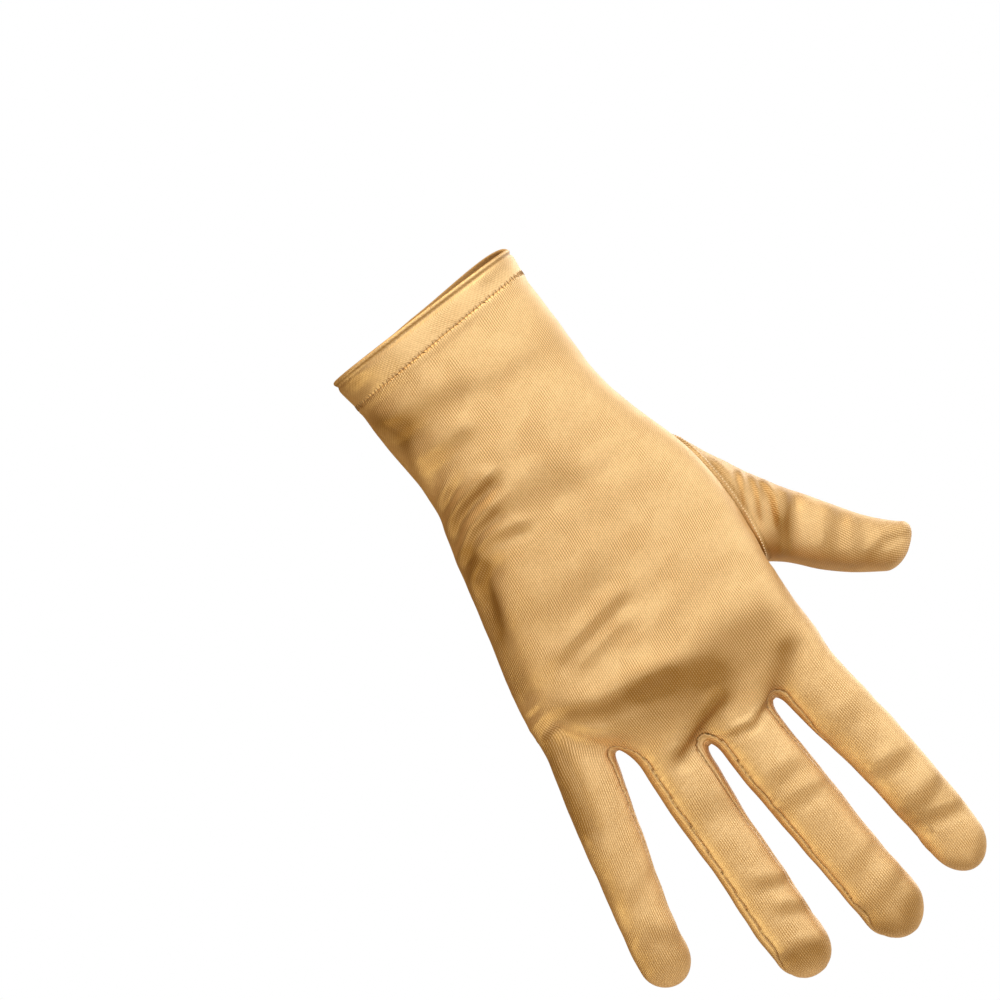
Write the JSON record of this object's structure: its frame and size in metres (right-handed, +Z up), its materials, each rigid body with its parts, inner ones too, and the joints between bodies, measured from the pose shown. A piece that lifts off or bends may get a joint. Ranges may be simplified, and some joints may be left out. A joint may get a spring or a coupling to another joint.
{
  "type": "dress glove",
  "caption": "Wrist length satin dress glove for a right hand, in the shape of a spread hand, with a turned hem, set-in thumb and strips between the fingers.",
  "frame": {"origin": "centre of the cuff opening, in the plane of the rim on the back of the hand", "axes": "+Z up the arm out of the cuff, so the fingers point along -Z; +X towards the thumb; +Y towards the palm, so the back of the hand faces -Y"},
  "size_m": [0.1416, 0.0436, 0.231],
  "materials": {
    "satin": "gold stretch satin, broad soft highlights, very fine lengthwise rib",
    "satin_hem": "the same satin turned over on itself, with one row of thread",
    "satin_fourchette": "the same satin, a little darker in the gap between two fingers"
  },
  "bodies": {
    "root": {"hand": "satin", "cuff_hem": "satin_hem", "thumb": "satin", "fourchette_index_middle": "satin_fourchette", "fourchette_middle_ring": "satin_fourchette", "fourchette_ring_little": "satin_fourchette"}
  },
  "joints": []
}
